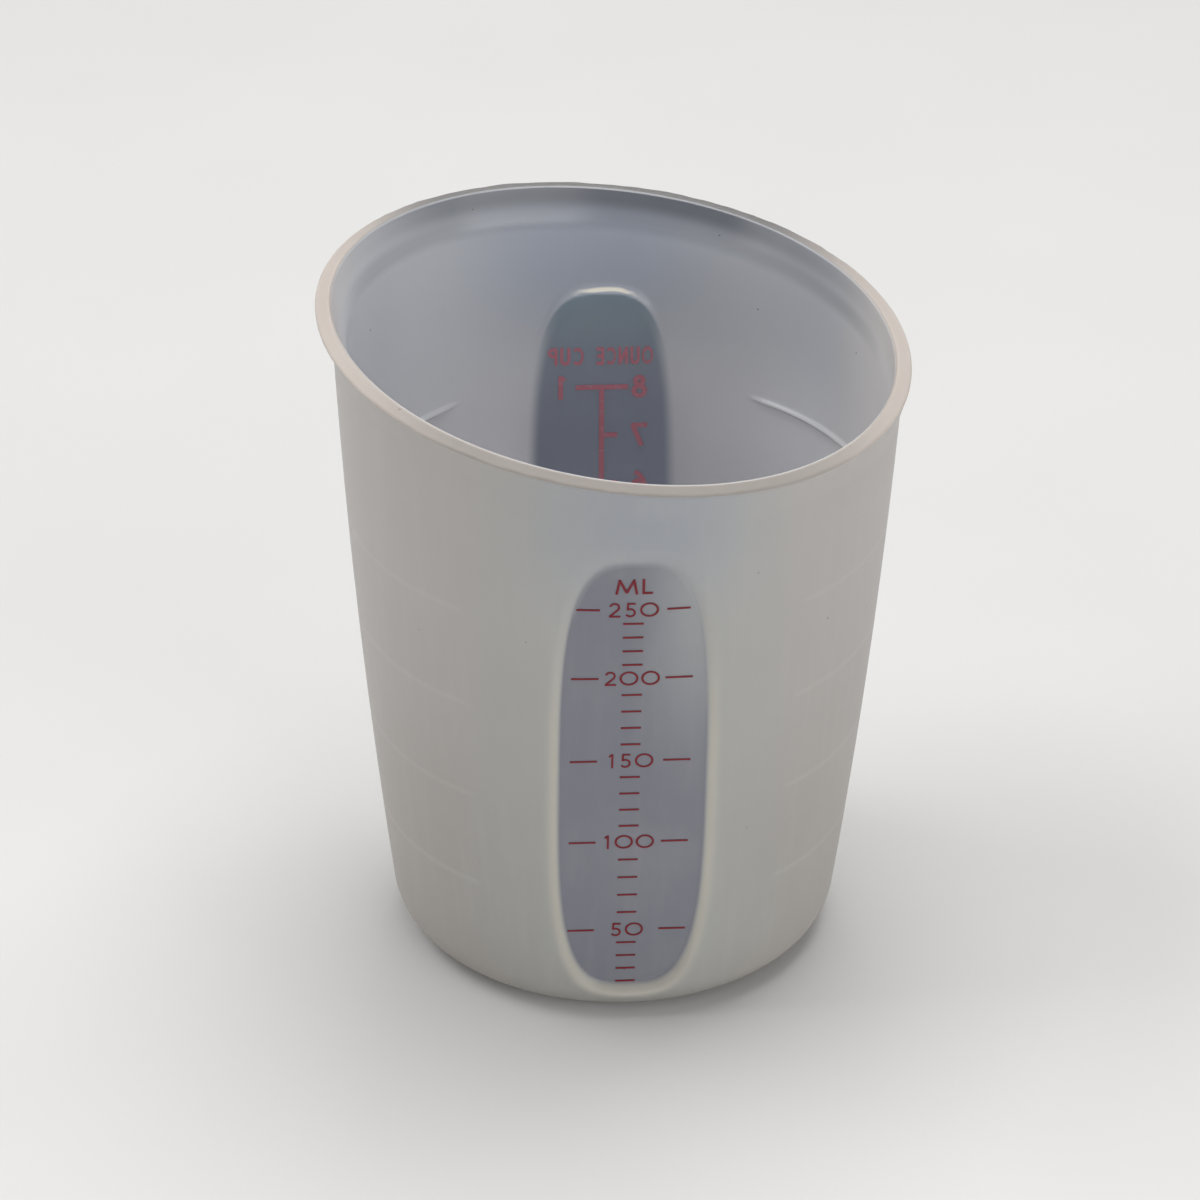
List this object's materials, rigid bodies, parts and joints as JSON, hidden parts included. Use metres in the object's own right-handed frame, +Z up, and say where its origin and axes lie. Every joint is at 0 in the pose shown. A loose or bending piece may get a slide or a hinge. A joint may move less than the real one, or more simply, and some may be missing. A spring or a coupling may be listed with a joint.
{
  "type": "silicone measuring cup",
  "caption": "Tapered round silicone measuring cup with a slanted, flared rim, raised fill lines inside, and printed scales on two smooth windows.",
  "frame": {"origin": "middle of the flat foot, on the surface the cup stands on", "axes": "+Z up the cup's axis to the mouth, -Y out of the front window with the millilitre scale, +Y out of the back window with the ounce and cup scale"},
  "size_m": [0.0836, 0.0835, 0.1006],
  "materials": {
    "milky_silicone": "milky translucent silicone, frosted outside, smoother inside and on the windows",
    "crimson_ink": "flat crimson printed ink"
  },
  "bodies": {
    "root": {"cup_body": "milky_silicone", "line_100_ml_left": "crimson_ink", "line_100_ml_right": "crimson_ink", "line_150_ml_left": "crimson_ink", "line_150_ml_right": "crimson_ink", "line_200_ml_left": "crimson_ink", "line_200_ml_right": "crimson_ink", "line_250_ml_left": "crimson_ink", "line_250_ml_right": "crimson_ink", "line_50_ml_left": "crimson_ink", "line_50_ml_right": "crimson_ink", "number_100_ml_digit_1": "crimson_ink", "number_100_ml_digit_2": "crimson_ink", "number_100_ml_digit_3": "crimson_ink", "number_150_ml_digit_1": "crimson_ink", "number_150_ml_digit_2": "crimson_ink", "number_150_ml_digit_3": "crimson_ink", "number_1_cup": "crimson_ink", "number_1_ounce": "crimson_ink", "number_200_ml_digit_1": "crimson_ink", "number_200_ml_digit_2": "crimson_ink", "number_200_ml_digit_3": "crimson_ink", "number_250_ml_digit_1": "crimson_ink", "number_250_ml_digit_2": "crimson_ink", "number_250_ml_digit_3": "crimson_ink", "number_2_ounce": "crimson_ink", "number_3_ounce": "crimson_ink", "number_4_ounce": "crimson_ink", "number_50_ml_digit_1": "crimson_ink", "number_50_ml_digit_2": "crimson_ink", "number_5_ounce": "crimson_ink", "number_6_ounce": "crimson_ink", "number_7_ounce": "crimson_ink", "number_8_ounce": "crimson_ink", "ounce_stem_with_ticks": "crimson_ink", "tick_10_ml": "crimson_ink", "tick_110_ml": "crimson_ink", "tick_120_ml": "crimson_ink", "tick_130_ml": "crimson_ink", "tick_140_ml": "crimson_ink", "tick_160_ml": "crimson_ink", "tick_170_ml": "crimson_ink", "tick_180_ml": "crimson_ink", "tick_190_ml": "crimson_ink", "tick_20_ml": "crimson_ink", "tick_210_ml": "crimson_ink", "tick_220_ml": "crimson_ink", "tick_230_ml": "crimson_ink", "tick_240_ml": "crimson_ink", "tick_30_ml": "crimson_ink", "tick_40_ml": "crimson_ink", "tick_60_ml": "crimson_ink", "tick_70_ml": "crimson_ink", "tick_80_ml": "crimson_ink", "tick_90_ml": "crimson_ink", "unit_letter_l": "crimson_ink", "unit_letter_m": "crimson_ink"}
  },
  "joints": []
}
